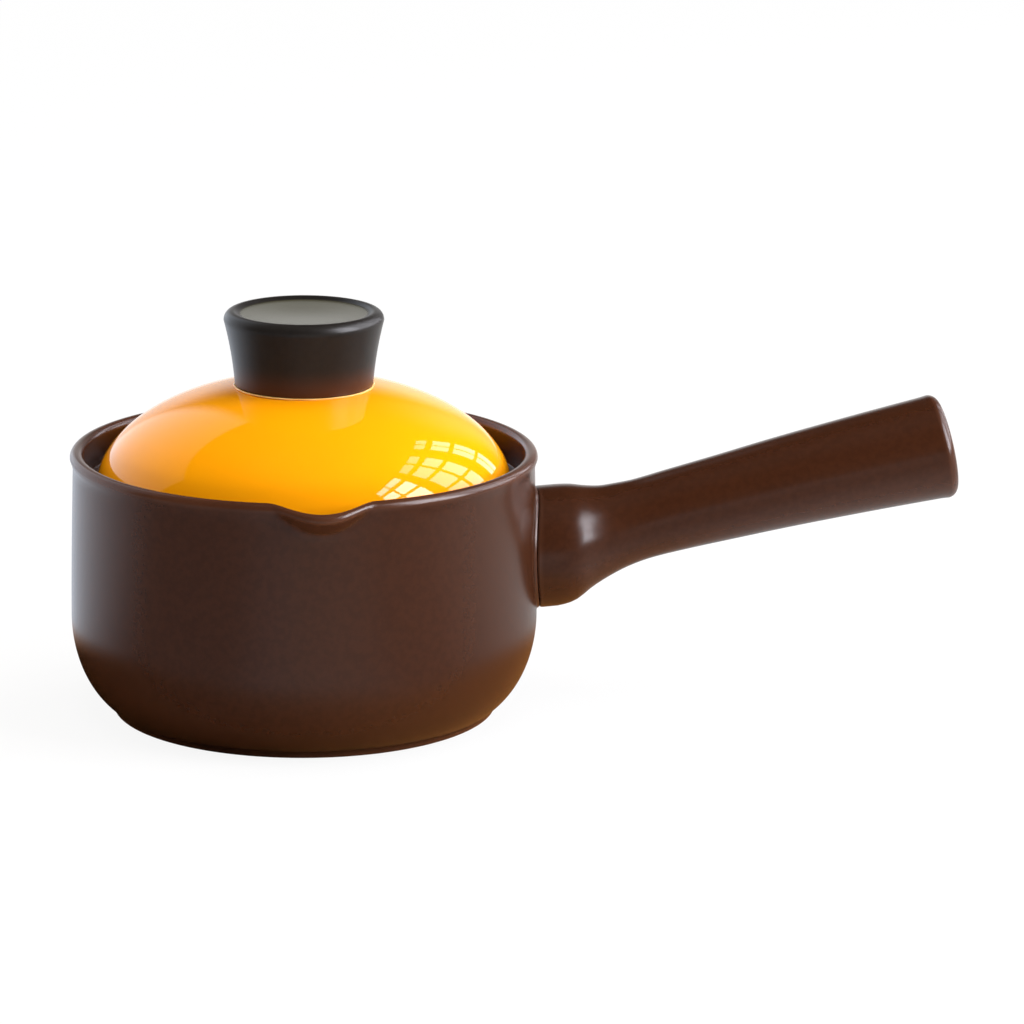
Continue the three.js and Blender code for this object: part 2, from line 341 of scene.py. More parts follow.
def pull_spout(bm):
    """Draws the lip out and down at the spout, with the channel narrowing down the wall."""
    half_angle = SPOUT_WIDTH / 2 / LIP_OUTER_RADIUS
    ledge_radius = LIP_INNER_RADIUS - LEDGE_WIDTH
    for vert in bm.verts:
        x, y, z = vert.co / MM
        radius = math.hypot(x, y)
        if radius < NEAR_AXIS:
            continue
        even = math.atan2(x, -y)
        angle = even - SPOUT_CROWDING * math.sin(even)
        depth = min((POT_HEIGHT - z) / SPOUT_DEPTH, 1)
        aside = min(abs(angle) / (half_angle * (1 - SPOUT_NARROWING * depth)), 1)
        pull = (1 - aside**2) ** SPOUT_SHARPNESS * (1 - smoothstep(*SPOUT_FADE, depth))
        if radius > ledge_radius + LEDGE_MARGIN:
            radius += SPOUT_REACH * pull
            z -= SPOUT_DROP * pull
        vert.co = Vector((radius * math.sin(angle), -radius * math.cos(angle), z)) * MM


def ring(bm, centre, direction, radius, closed=False):
    """A round section of the handle, and its edges."""
    across = Vector((0, 1, 0))
    up = direction.cross(across).normalized()
    turn = Matrix((across, up, direction)).transposed().to_4x4()
    place = Matrix.Translation(centre * MM) @ turn
    made = bmesh.ops.create_circle(
        bm, cap_ends=closed, cap_tris=closed, segments=HANDLE_STEPS, radius=radius * MM, matrix=place
    )
    rim = set(e for v in made["verts"] for e in v.link_edges if len(e.link_faces) < 2)
    return made["verts"], list(rim)


def saddle_ring(bm, radius, lift, closed=False, flat=None, flat_share=0):
    """A section that follows the bowl's side at a lift above it, or part of the way to a flat one."""
    centre = Vector((0, 0, HANDLE_LEVEL))
    verts, rim = ring(bm, centre, Vector((1, 0, 0)), radius, closed)
    for vert in verts:
        y, z = vert.co.y / MM, vert.co.z / MM
        vert.co.x = math.sqrt((bowl_radius(z) + lift) ** 2 - y * y) * MM
        if flat:
            flat_centre, direction, flat_radius = flat
            up = Vector((-direction.z, 0, direction.x))
            place = flat_centre + (Vector((0, y, 0)) + up * (z - HANDLE_LEVEL)) * flat_radius / radius
            vert.co = vert.co.lerp(place * MM, flat_share)
    return rim


def bridge(bm, rims):
    for one, other in zip(rims, rims[1:]):
        bmesh.ops.bridge_loops(bm, edges=one + other)


def add_handle_pad(bm):
    """The low round pad that the handle is luted to, with a soft fillet to the bowl's side."""
    root = ROOT_DIAMETER / 2
    rims = [saddle_ring(bm, root + out, lift) for out, lift in PAD_FILLET]
    rims += [saddle_ring(bm, root - inward, PAD_PROUD) for inward in PAD_FACE]
    rims.append(saddle_ring(bm, root - PAD_MIDDLE, PAD_PROUD, closed=True))
    bridge(bm, rims)
    hidden_middle = saddle_ring(bm, root - PAD_MIDDLE, -PAD_SUNK, closed=True)
    hidden_edge = saddle_ring(bm, root, -PAD_SUNK)
    bridge(bm, [hidden_middle, hidden_edge, rims[0]])


def make_pot_shell():
    bm = bmesh.new()
    spin_outline(bm, bowl_outline(), BOWL_STEPS)
    pull_spout(bm)
    add_handle_pad(bm)
    return piece("pot_shell", bm, "pot", "body_glaze", "pot_body")


# The handle

# Along the handle: share of its reach, of its rise, of its narrowing from the root to the neck
# and of its swelling from the neck to the end.
HANDLE_SHARES = [
    (0, 0, 0, 0),
    (0.04, 0.012, 0, 0),
    (0.08, 0.04, 0.12, 0),
    (0.12, 0.102, 0.486, 0),
    (0.16, 0.156, 0.757, 0),
    (0.2, 0.213, 0.91, 0),
    (0.25, 0.272, 1, 0),
    (0.33, 0.36, 1, 0.055),
    (0.45, 0.482, 1, 0.2),
    (0.6, 0.635, 1, 0.42),
    (0.8, 0.823, 1, 0.709),
    (1, 1, 1, 1),
]


def follow(share, column):
    """A smooth curve through one column of the handle's shares."""
    rows = HANDLE_SHARES
    i = max(k for k in range(len(rows) - 1) if rows[k][0] <= share or k == 0)
    (x0, y0), (x1, y1) = (rows[i][0], rows[i][column]), (rows[i + 1][0], rows[i + 1][column])

    def slope(k):
        low, high = rows[max(k - 1, 0)], rows[min(k + 1, len(rows) - 1)]
        return (high[column] - low[column]) / (high[0] - low[0])

    span = x1 - x0
    t = (share - x0) / span
    ease = t * t * (3 - 2 * t)
    start_part = t * (1 - t) ** 2 * span * slope(i)
    end_part = t * t * (t - 1) * span * slope(i + 1)
    return mix(y0, y1, ease) + start_part + end_part


def handle_centre(share):
    rise = follow(share, 1) * HANDLE_RISE
    return Vector((HANDLE_ROOT + share * HANDLE_REACH, 0, HANDLE_LEVEL + rise))


def handle_section(share):
    """Centre, direction and radius at a share of the handle's reach."""
    tilt = math.radians(HANDLE_TILT) * smoothstep(0, TILTED_SHARE, share)
    direction = Vector((math.cos(tilt), 0, math.sin(tilt)))
    slimmed = mix(ROOT_DIAMETER, NECK_DIAMETER, follow(share, 2))
    diameter = slimmed + (END_DIAMETER - NECK_DIAMETER) * follow(share, 3)
    return handle_centre(share), direction, diameter / 2


def moved_ring(bm, section, forward, radius, closed=False):
    centre, direction, _ = section
    return ring(bm, centre + direction * forward, direction, radius, closed)[1]


def make_handle_grip():
    bm = bmesh.new()
    root = ROOT_DIAMETER / 2
    rims = [saddle_ring(bm, root - ROOT_MIDDLE, ROOT_LIFT, closed=True)]
    rims += [saddle_ring(bm, root - inward, ROOT_LIFT + lift) for inward, lift in ROOT_EDGE]
    first_share = HANDLE_SHARES[1][0]
    first = handle_section(first_share)
    edge_lift = ROOT_LIFT + ROOT_EDGE[-1][1]
    for share in ROOT_BLEND:
        rims.append(saddle_ring(bm, root, edge_lift, flat=first, flat_share=share))
    end = handle_section(1)
    last_share = 1 - END_ROUND / HANDLE_REACH
    for i in range(GRIP_STEPS):
        section = handle_section(mix(first_share, last_share, i / GRIP_STEPS))
        rims.append(moved_ring(bm, section, 0, section[2]))
    for r, forward in arc((0, 0), (END_ROUND,) * 2, 0, 90, LIP_STEPS):
        rims.append(moved_ring(bm, end, forward - END_ROUND, end[2] - END_ROUND + r))
    mouth = end[2] - HANDLE_WALL
    for r, forward in arc((0, 0), (MOUTH_ROUND,) * 2, 90, 0, EDGE_STEPS):
        rims.append(moved_ring(bm, end, forward - MOUTH_ROUND, mouth + MOUTH_ROUND - r))
    bore_share = BORE_DEPTH / HANDLE_REACH
    for i in range(1, BORE_STEPS):
        section = handle_section(1 - bore_share * i / BORE_STEPS)
        rims.append(moved_ring(bm, section, 0, section[2] - HANDLE_WALL))
    blind = handle_section(1 - bore_share)
    for sunk, inward in BORE_END:
        last = (sunk, inward) == BORE_END[-1]
        rims.append(moved_ring(bm, blind, -sunk, blind[2] - HANDLE_WALL - inward, closed=last))
    bridge(bm, rims)
    return piece("handle_grip", bm, "pot", "handle_glaze", "handle")


# The lid


def dome_angle(height, rise):
    return math.degrees(math.asin((height - DOME_LEVEL) / rise))


def lid_outline():
    edge_top = LID_BOTTOM + LID_EDGE_ROUND
    edge_angle = dome_angle(edge_top, DOME_RISE)
    edge_radius = LID_RADIUS * math.cos(math.radians(edge_angle))
    centre = (0, DOME_LEVEL)
    seat_angle = dome_angle(SEAT_HEIGHT, DOME_RISE)
    outside = arc(centre, (LID_RADIUS, DOME_RISE), edge_angle, seat_angle, DOME_STEPS)
    edge = arc((edge_radius - LID_EDGE_ROUND, edge_top), (LID_EDGE_ROUND,) * 2, -90, 0, EDGE_STEPS)
    flange_inner = FLANGE_RADIUS - FLANGE_WALL
    inner_rise = DOME_RISE - LID_WALL
    under_top = SEAT_HEIGHT - LID_WALL
    top_angle = dome_angle(under_top, inner_rise)
    underside = arc(centre, (flange_inner, inner_rise), UNDERSIDE_START, top_angle, UNDERSIDE_STEPS)
    flange = rounded(
        [
            underside[0],
            (flange_inner, FLANGE_BOTTOM, FLANGE_ROUND),
            (FLANGE_RADIUS, FLANGE_BOTTOM, FLANGE_ROUND),
            (FLANGE_RADIUS, LID_BOTTOM, FLANGE_CORNER),
            edge[0],
        ]
    )[1:-1]
    hole = [(VENT_RADIUS, SEAT_HEIGHT), (VENT_RADIUS, under_top)]
    return flange + edge[:-1] + outside + hole + underside[::-1]


def make_lid_shell():
    bm = bmesh.new()
    outline = lid_outline()
    spin_outline(bm, outline + outline[:1], LID_STEPS)
    return piece("lid_shell", bm, "lid", "lid_glaze", "lid_dome")


def knob_outline():
    cavity = arc((0, KNOB_FOOT), (KNOB_CAVITY_RADIUS, KNOB_CAVITY_DEPTH), 90, 0, KNOB_CAVITY_STEPS)
    side_low, side_high = KNOB_FOOT + KNOB_FOOT_EDGE, KNOB_TOP - KNOB_TOP_EDGE
    foot_centre = (KNOB_FOOT_RADIUS - KNOB_FOOT_EDGE, side_low)
    foot_edge = arc(foot_centre, (KNOB_FOOT_EDGE,) * 2, -90, 0, FILLET_STEPS)
    side = []
    for i in range(1, KNOB_SIDE_STEPS):
        share = i / KNOB_SIDE_STEPS
        radius = mix(KNOB_FOOT_RADIUS, KNOB_TOP_RADIUS, share) - 4 * KNOB_WAIST * share * (1 - share)
        side.append((radius, mix(side_low, side_high, share)))
    top_centre = (KNOB_TOP_RADIUS - KNOB_TOP_EDGE, side_high)
    top_edge = arc(top_centre, (KNOB_TOP_EDGE,) * 2, 0, 90, KNOB_TOP_EDGE_STEPS)
    dish = []
    ring_span, middle_span = (KNOB_DISH_START, KNOB_DISH_END), (KNOB_DISH_END, 0)
    radii = [mix(*ring_span, i / DISH_RING_STEPS) for i in range(1, DISH_RING_STEPS)]
    radii += [mix(*middle_span, i / DISH_MIDDLE_STEPS) for i in range(DISH_MIDDLE_STEPS + 1)]
    for radius in radii:
        inward = KNOB_DISH_START - radius
        ring_drop = KNOB_RING_SHARE * smoothstep(0, KNOB_DISH_START - KNOB_DISH_END, inward)
        middle_drop = (1 - KNOB_RING_SHARE) * (1 - (radius / KNOB_DISH_START) ** 2) ** 2
        dish.append((radius, KNOB_TOP - KNOB_DISH * (ring_drop + middle_drop)))
    return cavity + foot_edge + side + top_edge + dish


def make_knob_cap():
    bm = bmesh.new()
    spin_outline(bm, knob_outline(), KNOB_STEPS)
    return piece("knob_cap", bm, "lid", "knob_glaze", "lid_knob")


def make_knob_seam():
    """The thin uneven bead of pale glaze where the knob meets the dome."""
    bm = bmesh.new()
    bead = arc((SEAM_RADIUS, KNOB_FOOT - SEAM_SINK), (SEAM_HALF_WIDTH, SEAM_HEIGHT), 0, 360, SEAM_STEPS)
    spin_outline(bm, bead, KNOB_STEPS)
    for vert in bm.verts:
        angle = math.atan2(vert.co.y, vert.co.x)
        wander = sum(size * math.sin(waves * angle + start) for size, waves, start in SEAM_WAVES)
        reach = 1 + wander / SEAM_RADIUS
        vert.co = Vector((vert.co.x * reach, vert.co.y * reach, vert.co.z + SEAM_LIFT * wander * MM))
    return piece("knob_seam", bm, "lid", "lid_glaze")


# Materials

# What a glaze's noises and its thin places are mapped from, and how little of the thin colour
# shows where it pools least
POOL_SPAN = (0.3, 0.7)
MOTTLE_SPAN = (0.34, 0.66)
THIN_SPAN = (0.25, 1.0)
THIN_LEAST = 0.55

CLAY_PALE = (0.52, 0.41, 0.29, 1)
CLAY_DARK = (0.40, 0.29, 0.19, 1)
CLAY_ROUGHNESS = 0.85
CLAY_LINE_WANDER = 0.0006
CLAY_LINE_SCALE = 180.0
CLAY_TONE_SCALE = 900.0
# Painted reflection: the olive of the knob's top dish stands in for a warm surrounding reflected there
PAINTED_DISH_REFLECTION_COLOUR = (0.060, 0.056, 0.034, 1)
DISH_ROUGHNESS = 0.25
KNOB_ROUGHNESS = 0.33
# Painted reflection: brown low on the knob's side, towards its foot, standing in for the orange lid
# reflected there
PAINTED_LID_REFLECTION_COLOUR = (0.056, 0.0125, 0.002, 1)
PAINTED_LID_REFLECTION_HEIGHTS = (KNOB_FOOT, KNOB_FOOT + 11)
DISH_EDGE = (KNOB_DISH_END - 0.5, KNOB_DISH_END + 1)
DISH_LEVELS = (KNOB_TOP - 4, KNOB_TOP - 3)


def new_group(name, inputs, outputs):
    """A shader node group with named inputs and outputs."""
    group = bpy.data.node_groups.new(name, "ShaderNodeTree")
    for label, kind, value in inputs:
        socket = group.interface.new_socket(label, in_out="INPUT", socket_type=kind)
        if value is not None:
            socket.default_value = value
    for label, kind in outputs:
        group.interface.new_socket(label, in_out="OUTPUT", socket_type=kind)
    return group, group.nodes.new("NodeGroupInput"), group.nodes.new("NodeGroupOutput")


def node(tree, kind, **settings):
    made = tree.nodes.new(kind)
    for name, value in settings.items():
        setattr(made, name, value)
    return made


def maths(tree, operation, *values):
    """A Math node over numbers and sockets."""
    made = node(tree, "ShaderNodeMath", operation=operation)
    for socket, value in zip(made.inputs, values):
        if isinstance(value, bpy.types.NodeSocket):
            tree.links.new(value, socket)
        else:
            socket.default_value = value
    return made.outputs[0]


def product(tree, first, *others):
    for other in others:
        first = maths(tree, "MULTIPLY", first, other)
    return first


def total(tree, first, *others):
    for other in others:
        first = maths(tree, "ADD", first, other)
    return first


def vector_maths(tree, operation, vector, fixed=None):
    """A Vector Math node over a socket and, where given, a fixed vector."""
    made = node(tree, "ShaderNodeVectorMath", operation=operation)
    tree.links.new(vector, made.inputs[0])
    if fixed:
        made.inputs[1].default_value = fixed
    return made.outputs["Value" if operation in ("LENGTH", "DOT_PRODUCT") else "Vector"]


def split(tree, vector):
    parts = node(tree, "ShaderNodeSeparateXYZ")
    tree.links.new(vector, parts.inputs[0])
    return parts.outputs["X"], parts.outputs["Y"], parts.outputs["Z"]


def ramp(tree, value, low, high, start, end):
    """Maps a value from low..high to start..end, with soft ends."""
    made = node(tree, "ShaderNodeMapRange", interpolation_type="SMOOTHSTEP")
    tree.links.new(value, made.inputs["Value"])
    for label, number in (("From Min", low), ("From Max", high), ("To Min", start), ("To Max", end)):
        if isinstance(number, bpy.types.NodeSocket):
            tree.links.new(number, made.inputs[label])
        else:
            made.inputs[label].default_value = number
    return made.outputs["Result"]


def blend_colours(tree, share, first, second):
    made = node(tree, "ShaderNodeMix", data_type="RGBA")
    for label, value in (("Factor", share), ("A", first), ("B", second)):
        kind = "VALUE" if label == "Factor" else "RGBA"
        socket = next(s for s in made.inputs if s.name == label and s.type == kind)
        if isinstance(value, bpy.types.NodeSocket):
            tree.links.new(value, socket)
        else:
            socket.default_value = value
    return next(s for s in made.outputs if s.type == "RGBA")


def noise(tree, place, scale, detail, roughness=0.55):
    made = node(tree, "ShaderNodeTexNoise")
    tree.links.new(place, made.inputs["Vector"])
    if isinstance(scale, bpy.types.NodeSocket):
        tree.links.new(scale, made.inputs["Scale"])
    else:
        made.inputs["Scale"].default_value = scale
    made.inputs["Detail"].default_value = detail
    made.inputs["Roughness"].default_value = roughness
    return made.outputs["Fac"]


def radius_of(tree, across, along):
    """Distance from the Z axis."""
    square = maths(tree, "MULTIPLY", across, across)
    return maths(tree, "SQRT", maths(tree, "MULTIPLY_ADD", along, along, square))


def glaze_surface_group():
    """Pooling, fine mottle and orange peel of a fired glaze."""
    tree, given, result = new_group(
        "glaze_surface",
        [
            ("Place", "NodeSocketVector", None),
            ("Pool Scale", "NodeSocketFloat", 60.0),
            ("Mottle Scale", "NodeSocketFloat", 420.0),
            ("Peel Scale", "NodeSocketFloat", 500.0),
            ("Grain Scale", "NodeSocketFloat", 2600.0),
            ("Grain Share", "NodeSocketFloat", 0.4),
        ],
        [("Pool", "NodeSocketFloat"), ("Mottle", "NodeSocketFloat"), ("Relief", "NodeSocketFloat")],
    )
    place = given.outputs["Place"]
    pool = noise(tree, place, given.outputs["Pool Scale"], detail=2.0)
    peel = noise(tree, place, given.outputs["Peel Scale"], detail=1.0)
    grain = noise(tree, place, given.outputs["Grain Scale"], detail=2.0, roughness=0.7)
    tree.links.new(ramp(tree, pool, *POOL_SPAN, 0.0, 1.0), result.inputs["Pool"])
    mottle = noise(tree, place, given.outputs["Mottle Scale"], detail=3.0, roughness=0.6)
    tree.links.new(ramp(tree, mottle, *MOTTLE_SPAN, 0.0, 1.0), result.inputs["Mottle"])
    fine = product(tree, grain, given.outputs["Grain Share"])
    tree.links.new(total(tree, peel, fine), result.inputs["Relief"])
    return tree


def bare_clay_group():
    """Where a glaze ends at a height on the foot or the lid's edge, with a slightly uneven line."""
    tree, given, result = new_group(
        "bare_clay",
        [
            ("Place", "NodeSocketVector", None),
            ("Line Height", "NodeSocketFloat", 0.0),
            ("Softness", "NodeSocketFloat", 0.0003),
            ("Inner Radius", "NodeSocketFloat", 0.0),
            ("Outer Radius", "NodeSocketFloat", 1.0),
        ],
        [("Mask", "NodeSocketFloat"), ("Tone", "NodeSocketFloat")],
    )
    place = given.outputs["Place"]
    across, along, height = split(tree, place)
    wander = noise(tree, place, CLAY_LINE_SCALE, detail=2.0)
    shift = product(tree, maths(tree, "SUBTRACT", wander, 0.5), CLAY_LINE_WANDER)
    top = total(tree, given.outputs["Line Height"], given.outputs["Softness"])
    below = ramp(tree, total(tree, height, shift), given.outputs["Line Height"], top, 1.0, 0.0)
    radius = radius_of(tree, across, along)
    outside = maths(tree, "GREATER_THAN", radius, given.outputs["Inner Radius"])
    inside = maths(tree, "LESS_THAN", radius, given.outputs["Outer Radius"])
    tree.links.new(product(tree, below, outside, inside), result.inputs["Mask"])
    tree.links.new(noise(tree, place, CLAY_TONE_SCALE, detail=4.0), result.inputs["Tone"])
    return tree


GLAZE_SURFACE = glaze_surface_group()
BARE_CLAY = bare_clay_group()


def in_metres(span):
    return [value * MM for value in span]


def object_place(tree):
    return node(tree, "ShaderNodeTexCoord").outputs["Object"]


def grouped(tree, group, place, **values):
    made = node(tree, "ShaderNodeGroup", node_tree=group)
    tree.links.new(place, made.inputs["Place"])
    for label, value in values.items():
        made.inputs[label.replace("_", " ").title()].default_value = value
    return made


def glaze(
    name,
    deep,
    pale,
    thin,
    roughness,
    relief,
    surface,
    mottled=None,
    clay=None,
    specular_ior=1.5,
):
    """A fired glaze: deep and pale where it pools, another colour where it runs thin over an edge.

    Its relief is in millimetres, its surface and clay are inputs of the two groups above.
    """
    material = bpy.data.materials.new(name)
    material.use_nodes = True
    tree = material.node_tree
    shader = tree.nodes["Principled BSDF"]
    shader.inputs["IOR"].default_value = specular_ior
    place = object_place(tree)
    skin = grouped(tree, GLAZE_SURFACE, place, **surface)
    colour = blend_colours(tree, skin.outputs["Pool"], (*deep, 1), (*pale, 1))
    if mottled:
        colour = blend_colours(tree, skin.outputs["Mottle"], colour, (*mottled, 1))
    edge = node(tree, "ShaderNodeAttribute", attribute_name="thin_glaze").outputs["Fac"]
    uneven = ramp(tree, skin.outputs["Pool"], 0.0, 1.0, THIN_LEAST, 1.0)
    worn = product(tree, ramp(tree, edge, *THIN_SPAN, 0.0, 1.0), uneven)
    colour = blend_colours(tree, worn, colour, (*thin, 1))
    shader.inputs["Roughness"].default_value = roughness
    if clay:
        bare = grouped(tree, BARE_CLAY, place, **clay)
        clay_colour = blend_colours(tree, bare.outputs["Tone"], CLAY_DARK, CLAY_PALE)
        colour = blend_colours(tree, bare.outputs["Mask"], colour, clay_colour)
        uneven_gloss = ramp(tree, bare.outputs["Mask"], 0.0, 1.0, roughness, CLAY_ROUGHNESS)
        tree.links.new(uneven_gloss, shader.inputs["Roughness"])
    bump = node(tree, "ShaderNodeBump")
    bump.inputs["Strength"].default_value = 1.0
    bump.inputs["Distance"].default_value = relief * MM
    tree.links.new(skin.outputs["Relief"], bump.inputs["Height"])
    tree.links.new(colour, shader.inputs["Base Color"])
    tree.links.new(bump.outputs["Normal"], shader.inputs["Normal"])
    return material


def brown_glaze(name, clay=None):
    return glaze(
        name,
        deep=(0.0377, 0.0109, 0.0035),
        pale=(0.0385, 0.0111, 0.0037),
        mottled=(0.0443, 0.0128, 0.0042),
        thin=(0.070, 0.024, 0.011),
        roughness=0.235,
        relief=0.006,
        surface={"pool_scale": 30.0, "peel_scale": 420.0, "grain_scale": 3200.0, "grain_share": 0.5},
        clay=clay,
    )


def orange_glaze():
    return glaze(
        "orange_gloss_glaze",
        deep=(0.965, 0.345, 0.0015),
        pale=(0.970, 0.360, 0.002),
        thin=(0.96, 0.46, 0.04),
        roughness=0.03,
        relief=0.0006,
        surface={"pool_scale": 25.0, "peel_scale": 60.0, "grain_scale": 3000.0, "grain_share": 0.02},
        clay={
            "line_height": (LID_BOTTOM + 0.25) * MM,
            "softness": 0.0002,
            "inner_radius": (FLANGE_RADIUS - 0.6) * MM,
            "outer_radius": LID_RADIUS * MM,
        },
    )


def seam_glaze():
    return glaze(
        "pale_seam_glaze",
        deep=(0.93, 0.38, 0.02),
        pale=(0.84, 0.66, 0.40),
        thin=(0.90, 0.52, 0.16),
        roughness=0.18,
        relief=0.002,
        surface={"pool_scale": 90.0, "peel_scale": 400.0, "grain_scale": 3000.0, "grain_share": 0.1},
    )


def black_glaze():
    """Near-black satin, with a painted reflection of the orange lid as brown towards the knob's foot,
    and a painted olive reflection on the dish on top, which has its own roughness.
    """
    material = glaze(
        "black_satin_glaze",
        deep=(0.0088, 0.0070, 0.0060),
        pale=(0.0106, 0.0085, 0.0071),
        mottled=(0.0125, 0.0100, 0.0083),
        thin=(0.016, 0.013, 0.011),
        roughness=KNOB_ROUGHNESS,
        relief=0.006,
        surface={"pool_scale": 70.0, "peel_scale": 500.0, "grain_scale": 3400.0, "grain_share": 0.5},
        specular_ior=1.46,
    )
    tree = material.node_tree
    shader = tree.nodes["Principled BSDF"]
    base = shader.inputs["Base Color"]
    across, along, height = split(tree, object_place(tree))
    radius = radius_of(tree, across, along)
    # The dish on top: its olive colour is a painted reflection, and its roughness is the dish's own
    inside = ramp(tree, radius, *in_metres(DISH_EDGE), 1.0, 0.0)
    above = ramp(tree, height, *in_metres(DISH_LEVELS), 0.0, 1.0)
    dish = product(tree, inside, above)
    # Painted reflection of the orange lid: the knob's side turns brown towards its foot
    painted_lid_reflection = ramp(tree, height, *in_metres(PAINTED_LID_REFLECTION_HEIGHTS), 1.0, 0.0)
    colour = blend_colours(tree, painted_lid_reflection, base.links[0].from_socket, PAINTED_LID_REFLECTION_COLOUR)
    tree.links.new(blend_colours(tree, dish, colour, PAINTED_DISH_REFLECTION_COLOUR), base)
    gloss = ramp(tree, dish, 0.0, 1.0, KNOB_ROUGHNESS, DISH_ROUGHNESS)
    tree.links.new(gloss, shader.inputs["Roughness"])
    return material


# The set: floor, sky, lamps and camera

FLOOR_SIZE = 12.0
FLOOR_CELLS = 8
FLOOR_CLEARANCE = 0.00005
FLOOR_COLOUR = (0.85, 0.84, 0.82, 1)
FLOOR_WHITE_SPAN = (0.25, 0.7)
FLOOR_WHITE = (0.9, 0.98)

# What diffuse surfaces get back from the floor, more of it on the front right
BOUNCE_SPAN = (0.08, 0.13)
BOUNCE_AIM = (0.8, -0.6, 0)
BOUNCE_SIDES = (-0.2, 0.9)
BOUNCE_LEVELS = (0.45, 0.75)

# What gloss sees of the floor: dim and warm round the pot, and further out a level for each
# side, given as an aim and what its dot product with the outward direction is mapped from and to
SHEEN_SPAN = (0.09, 0.15)
SHEEN_NARROWING = 0.78
NEAR_SHEEN = {"aim": (0.94, -0.34, 0), "map": (-0.2, 1.0, 0.02, 0.4)}
FAR_SHEENS = [
    {"aim": (-0.5, 0.866, 0), "map": (0.2, 1.1, 0.0, 1.05)},
    {"aim": (0.866, 0.5, 0), "map": (0.3, 1.0, 0.0, 0.48)},
    {"aim": (0, -1, 0), "map": (0.8, 1.0, 0.13, 0.32)},
]
WARM_TINT = (1.0, 0.42, 0.12, 1)
COOL_TINT = (0.90, 0.98, 1.10, 1)
COOL_SPAN = (-0.35, 0.0)
WHITE = (1, 1, 1, 1)


def towards(tree, direction, aim):
    """How far a direction points along an aim, 1 when they agree."""
    return vector_maths(tree, "DOT_PRODUCT", direction, aim)


def left_tint(tree, rightward):
    """The cool tint of what gloss shows on the left, and white from the middle to the right."""
    return blend_colours(tree, ramp(tree, rightward, *COOL_SPAN, 1.0, 0.0), WHITE, COOL_TINT)


def seen_directly(tree, rays):
    """1 for what the camera sees, by itself or through glass."""
    return total(tree, rays.outputs["Is Camera Ray"], rays.outputs["Is Transmission Ray"])


def emission(tree, strength):
    made = node(tree, "ShaderNodeEmission")
    tree.links.new(strength, made.inputs["Strength"])
    return made


def mixed(tree, share, first, second):
    made = node(tree, "ShaderNodeMixShader")
    tree.links.new(share, made.inputs["Fac"])
    tree.links.new(first, made.inputs[1])
    tree.links.new(second, made.inputs[2])
    return made.outputs[0]


def floor_glow(tree, place, outward, rays, seen):
    """White as the camera sees it, and a sheen with its own level and tint on each side for gloss."""
    narrowed = vector_maths(tree, "MULTIPLY", place, (SHEEN_NARROWING, 1, 0))
    clear = vector_maths(tree, "LENGTH", narrowed)
    under, *sides = [
        ramp(tree, towards(tree, outward, side["aim"]), *side["map"])
        for side in [NEAR_SHEEN] + FAR_SHEENS
    ]
    sheen = ramp(tree, clear, *SHEEN_SPAN, under, total(tree, *sides))
    from_gloss = product(tree, rays.outputs["Is Glossy Ray"], sheen)
    glow = emission(tree, total(tree, from_gloss, seen))
    far_tint = left_tint(tree, split(tree, outward)[0])
    tint = blend_colours(tree, ramp(tree, clear, *SHEEN_SPAN, 0.0, 1.0), WARM_TINT, far_tint)
    colour = blend_colours(tree, rays.outputs["Is Glossy Ray"], WHITE, tint)
    tree.links.new(colour, glow.inputs["Color"])
    return glow.outputs[0]


def floor_bounce(tree, distance, outward, rays):
    """An even light back from the floor for diffuse surfaces, none of it under the pot."""
    level = ramp(tree, towards(tree, outward, BOUNCE_AIM), *BOUNCE_SIDES, *BOUNCE_LEVELS)
    bounced = ramp(tree, distance, *BOUNCE_SPAN, 0.0, level)
    return emission(tree, product(tree, rays.outputs["Is Diffuse Ray"], bounced)).outputs[0]


def floor_material():
    material = bpy.data.materials.new("pale_floor")
    material.use_nodes = True
    tree = material.node_tree
    tree.nodes.remove(tree.nodes["Principled BSDF"])
    place = object_place(tree)
    distance = vector_maths(tree, "LENGTH", place)
    outward = vector_maths(tree, "NORMALIZE", place)
    rays = node(tree, "ShaderNodeLightPath")
    seen = seen_directly(tree, rays)
    lit = node(tree, "ShaderNodeBsdfDiffuse")
    lit.inputs["Color"].default_value = FLOOR_COLOUR
    bright = node(tree, "ShaderNodeAddShader")
    tree.links.new(lit.outputs[0], bright.inputs[0])
    tree.links.new(floor_bounce(tree, distance, outward, rays), bright.inputs[1])
    white = ramp(tree, distance, *FLOOR_WHITE_SPAN, *FLOOR_WHITE)
    share = total(tree, product(tree, seen, white), rays.outputs["Is Glossy Ray"])
    surface = mixed(tree, share, bright.outputs[0], floor_glow(tree, place, outward, rays, seen))
    below = node(tree, "ShaderNodeNewGeometry").outputs["Backfacing"]
    from_below = product(tree, below, rays.outputs["Is Camera Ray"])
    clear = node(tree, "ShaderNodeBsdfTransparent").outputs[0]
    whole = mixed(tree, from_below, surface, clear)
    tree.links.new(whole, tree.nodes["Material Output"].inputs["Surface"])
    return material


def make_floor():
    """A pale floor just under the foot ring, which can be looked through from below."""
    bm = bmesh.new()
    level = Matrix.Translation((0, 0, -FLOOR_CLEARANCE))
    bmesh.ops.create_grid(
        bm, x_segments=FLOOR_CELLS, y_segments=FLOOR_CELLS, size=FLOOR_SIZE / 2, matrix=level
    )
    mesh = bpy.data.meshes.new("floor")
    bm.to_mesh(mesh)
    bm.free()
    mesh.materials.append(floor_material())
    floor = bpy.data.objects.new("floor", mesh)
    bpy.context.scene.collection.objects.link(floor)


